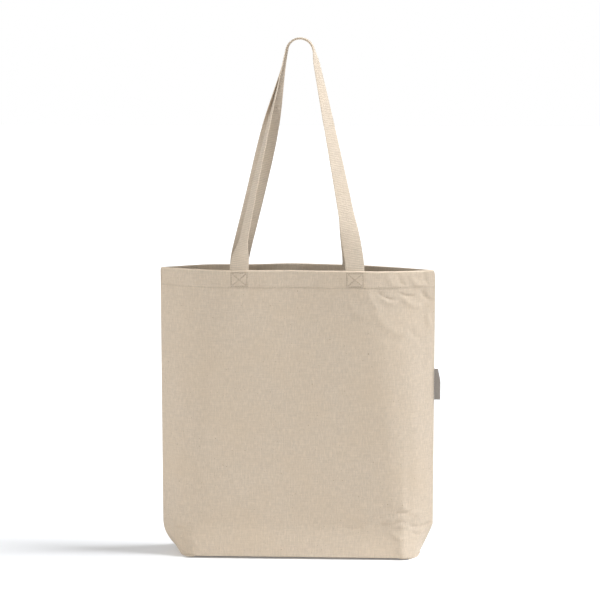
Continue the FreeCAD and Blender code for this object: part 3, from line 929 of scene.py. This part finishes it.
for end, end_name in ((LEFT, "left"), (RIGHT, "right")):
    node = f"{end_name}_side_seam"
    low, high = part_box(node)
    count = 100
    spine = []
    for index in range(count + 1):
        z = low[2] + (high[2] - low[2]) * index / count
        spine.append(Vector((end * (outline(FRONT, end, z)[0] - 2.6 * MM), 0, z)))
    seam_strip(f"{end_name}_side_seam_edge", node, spine, Vector((-end, 0, 0)), Vector((0, 1, 0)))
    node = f"{end_name}_corner_seam"
    low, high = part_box(node)
    reach = BASE_REACH - 1.6 * MM
    floor_up = low[2] + SEAM_THICK / 2 + 0.2 * MM
    spine = [Vector((end * reach, low[1] + (high[1] - low[1]) * k / 30, floor_up)) for k in range(31)]
    seam_strip(f"{end_name}_corner_seam_edge", node, spine, Vector((-end, 0, 0)), Vector((0, 0, 1)))

low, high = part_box("bottom_seam")
spine = [Vector((low[0] + (high[0] - low[0]) * k / 90, -1 * MM, low[2] + SEAM_THICK / 2 + 0.2 * MM))
         for k in range(91)]
seam_strip("bottom_seam_edge", "bottom_seam", spine, Vector((0, 1, 0)), Vector((0, 0, 1)))

# ------------------------------------------------------------------ side label
# A strip of grey woven tape, folded double and caught in the right-hand side seam. It is blank.

label_low, label_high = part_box("side_label")
TAPE = 0.38 * MM


def label_place(u, v):
    """The folded tape: u runs from one sewn end round the fold, at 0, to the other."""
    low, high = label_low[2], label_high[2]
    length = (label_high[0] - SEAM) * (0.58 + 0.42 * eased((high - v + 3 * MM) / (22 * MM)))
    fold = 0.45 * MM
    out = length * (1 - abs(u) / (label_high[0] - SEAM))
    turn = math.pi / 2 * eased((out - length + 2 * fold) / (2 * fold))
    y = math.copysign(fold * math.cos(turn), u) if u else 0.0
    sway = 0.9 * MM * out / length * math.sin((v - low) / (high - low) * 2.4)
    return Vector((SEAM - 0.4 * MM + out, y - sway, v))


reach = label_high[0] - SEAM
half_tape = steps(0, 0.6 * MM, 4) + steps(0.6 * MM, reach, 5) + [reach]
tape_across = [-u for u in reversed(half_tape)] + half_tape[1:]
tape_up = steps(label_low[2], label_high[2], 24) + [label_high[2]]
label = cloth_grid("side_label_tape", tape_across, tape_up, label_place)
apply_modifier(label, "SOLIDIFY", thickness=TAPE, offset=0, use_even_offset=False)
smooth(label)
LABEL_COLOUR = (0.300, 0.268, 0.240)
label.data.materials.append(
    cloth_material("label_tape", LABEL_COLOUR, weft_pitch=0.30 * MM, warp_pitch=0.22 * MM,
                   depth=0.04 * MM, slub=0.3, flecks=0.0, wander=0.1, sheen=0.25))
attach(label, "label")
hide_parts("side_label")

# ------------------------------------------------------------------ floor, lights and camera
# A white table top running back out of sight, one strong soft lamp from the right, a weak one from
# the left, and an even white surround.

bpy.ops.object.select_all(action="DESELECT")
bpy.ops.mesh.primitive_plane_add(size=12, location=(0, 3, -0.0004))
floor = bpy.context.object
floor.name = "floor"
bpy.ops.object.transform_apply(location=True)
paper = bpy.data.materials.new("paper")
paper.use_nodes = True
wiring = Wiring(paper.node_tree)
paper_shader = paper.node_tree.nodes["Principled BSDF"]
paper_shader.inputs["Base Color"].default_value = (0.86, 0.86, 0.86, 1)
paper_shader.inputs["Roughness"].default_value = 0.9
paper_shader.inputs["Specular IOR Level"].default_value = 0.0
paper_shader.inputs["Emission Color"].default_value = (1, 1, 1, 1)
rays = wiring.node("ShaderNodeLightPath")
seen = wiring.math("MAXIMUM", rays.outputs["Is Camera Ray"], rays.outputs["Is Glossy Ray"])
seen = wiring.math("MAXIMUM", seen, rays.outputs["Is Transmission Ray"])
wiring.join(wiring.math("MULTIPLY", seen, 0.10), paper_shader.inputs["Emission Strength"])
floor.data.materials.append(paper)


def lamp(name, azimuth, elevation, softness, strength, colour):
    """A far soft lamp: where it stands round and above the bag, and how wide it looks, in degrees."""
    a, e = math.radians(azimuth), math.radians(elevation)
    way = Vector((math.sin(a) * math.cos(e), -math.cos(a) * math.cos(e), math.sin(e)))
    bpy.ops.object.light_add(type="SUN", location=3 * way)
    light = bpy.context.object
    light.name = name
    light.rotation_euler = way.to_track_quat("Z", "Y").to_euler()
    light.data.angle = math.radians(softness)
    light.data.energy = strength
    light.data.color = colour


lamp("key_lamp", 90, 41, 20, 4.4, (0.97, 1.0, 1.05))
lamp("fill_lamp", -42, 24, 60, 1.6, (1.0, 1.0, 1.0))

world = bpy.data.worlds.new("surround")
bpy.context.scene.world = world
world.use_nodes = True
wiring = Wiring(world.node_tree)
rays = wiring.node("ShaderNodeLightPath")
seen = wiring.math("MAXIMUM", rays.outputs["Is Camera Ray"], rays.outputs["Is Glossy Ray"])
seen = wiring.math("MAXIMUM", seen, rays.outputs["Is Transmission Ray"])
surround = world.node_tree.nodes["Background"]
surround.inputs["Color"].default_value = (1, 1, 1, 1)
wiring.join(wiring.range(seen, 0.0, 1.0, 0.33, 1.0), surround.inputs["Strength"])

aim = Vector((3.3 * MM, 0, 346 * MM))
way = math.radians(2.5)
spot = aim + Vector((2.6 * math.sin(way), -2.6 * math.cos(way), 0.398))
bpy.ops.object.camera_add(location=spot)
camera = bpy.context.object
camera.name = "camera"
camera.rotation_euler = (spot - aim).to_track_quat("Z", "Y").to_euler()
camera.data.lens = 36 * (spot - aim).length / 0.802
camera.data.clip_end = 60
bpy.context.scene.camera = camera
bpy.context.scene.view_settings.view_transform = "Standard"
